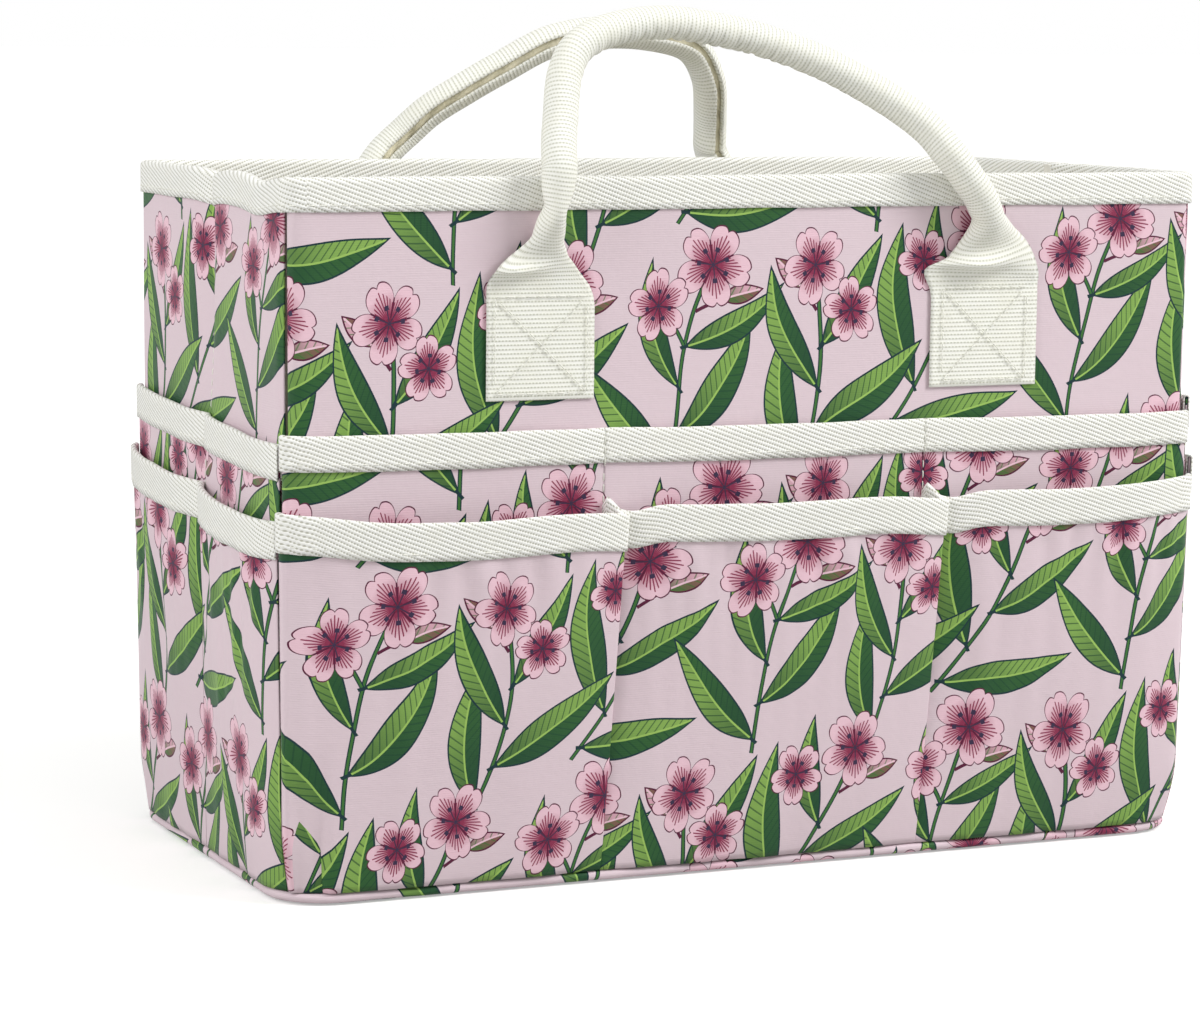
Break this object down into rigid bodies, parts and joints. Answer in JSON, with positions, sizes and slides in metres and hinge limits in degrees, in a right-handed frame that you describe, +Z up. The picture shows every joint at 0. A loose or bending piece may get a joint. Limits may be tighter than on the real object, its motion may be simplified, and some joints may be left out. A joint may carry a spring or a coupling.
{
  "type": "craft storage caddy",
  "caption": "Open-topped cloth caddy with stiffened walls, two tiers of outside pockets bound in woven tape, and rolled webbing handles that swing outwards",
  "frame": {"origin": "middle of the underside of the base, on the surface that the caddy stands on", "axes": "+X along the length, towards the right end as seen from the front; +Y from the front to the back; +Z up"},
  "size_m": [0.328, 0.1741, 0.2667],
  "materials": {
    "print_cloth": "satin woven polyester with a printed pattern of blossoms and leaves",
    "binding_tape": "ivory herringbone twill tape",
    "handle_webbing": "ivory ribbed webbing",
    "handle_cord": "soft twisted cord",
    "stiffener_board": "plain sheet board",
    "lining_cloth": "plain woven lining"
  },
  "bodies": {
    "caddy": {"front_panel": "print_cloth", "back_panel": "print_cloth", "left_end_panel": "print_cloth", "right_end_panel": "print_cloth", "base_panel": "print_cloth", "base_rolled_seam": "print_cloth", "front_upper_pockets": "print_cloth", "front_lower_pockets": "print_cloth", "back_upper_pockets": "print_cloth", "back_lower_pockets": "print_cloth", "left_end_upper_pockets": "print_cloth", "left_end_lower_pockets": "print_cloth", "right_end_upper_pockets": "print_cloth", "right_end_lower_pockets": "print_cloth", "rim_binding": "binding_tape", "front_upper_pocket_binding": "binding_tape", "front_lower_pocket_binding": "binding_tape", "back_upper_pocket_binding": "binding_tape", "back_lower_pocket_binding": "binding_tape", "left_end_upper_pocket_binding": "binding_tape", "left_end_lower_pocket_binding": "binding_tape", "right_end_upper_pocket_binding": "binding_tape", "right_end_lower_pocket_binding": "binding_tape", "front_stiffener": "stiffener_board", "back_stiffener": "stiffener_board", "left_end_stiffener_front": "stiffener_board", "left_end_stiffener_rear": "stiffener_board", "right_end_stiffener_front": "stiffener_board", "right_end_stiffener_rear": "stiffener_board", "base_board": "stiffener_board", "front_lining": "lining_cloth", "back_lining": "lining_cloth", "left_end_lining": "lining_cloth", "right_end_lining": "lining_cloth", "base_lining": "lining_cloth", "front_handle_patch_left": "handle_webbing", "front_handle_patch_right": "handle_webbing", "back_handle_patch_left": "handle_webbing", "back_handle_patch_right": "handle_webbing"},
    "front_handle": {"front_handle_strap": "handle_webbing", "front_handle_core": "handle_cord"},
    "back_handle": {"back_handle_strap": "handle_webbing", "back_handle_core": "handle_cord"}
  },
  "joints": [
    {"name": "front_handle_swing", "type": "hinge", "parent": "caddy", "child": "front_handle", "pos_m": [0.001, -0.0745, 0.1813], "axis": [1, 0, 0], "range_deg": [0, 140]},
    {"name": "back_handle_swing", "type": "hinge", "parent": "caddy", "child": "back_handle", "pos_m": [-0.001, 0.0745, 0.1813], "axis": [-1, 0, 0], "range_deg": [0, 140]}
  ]
}
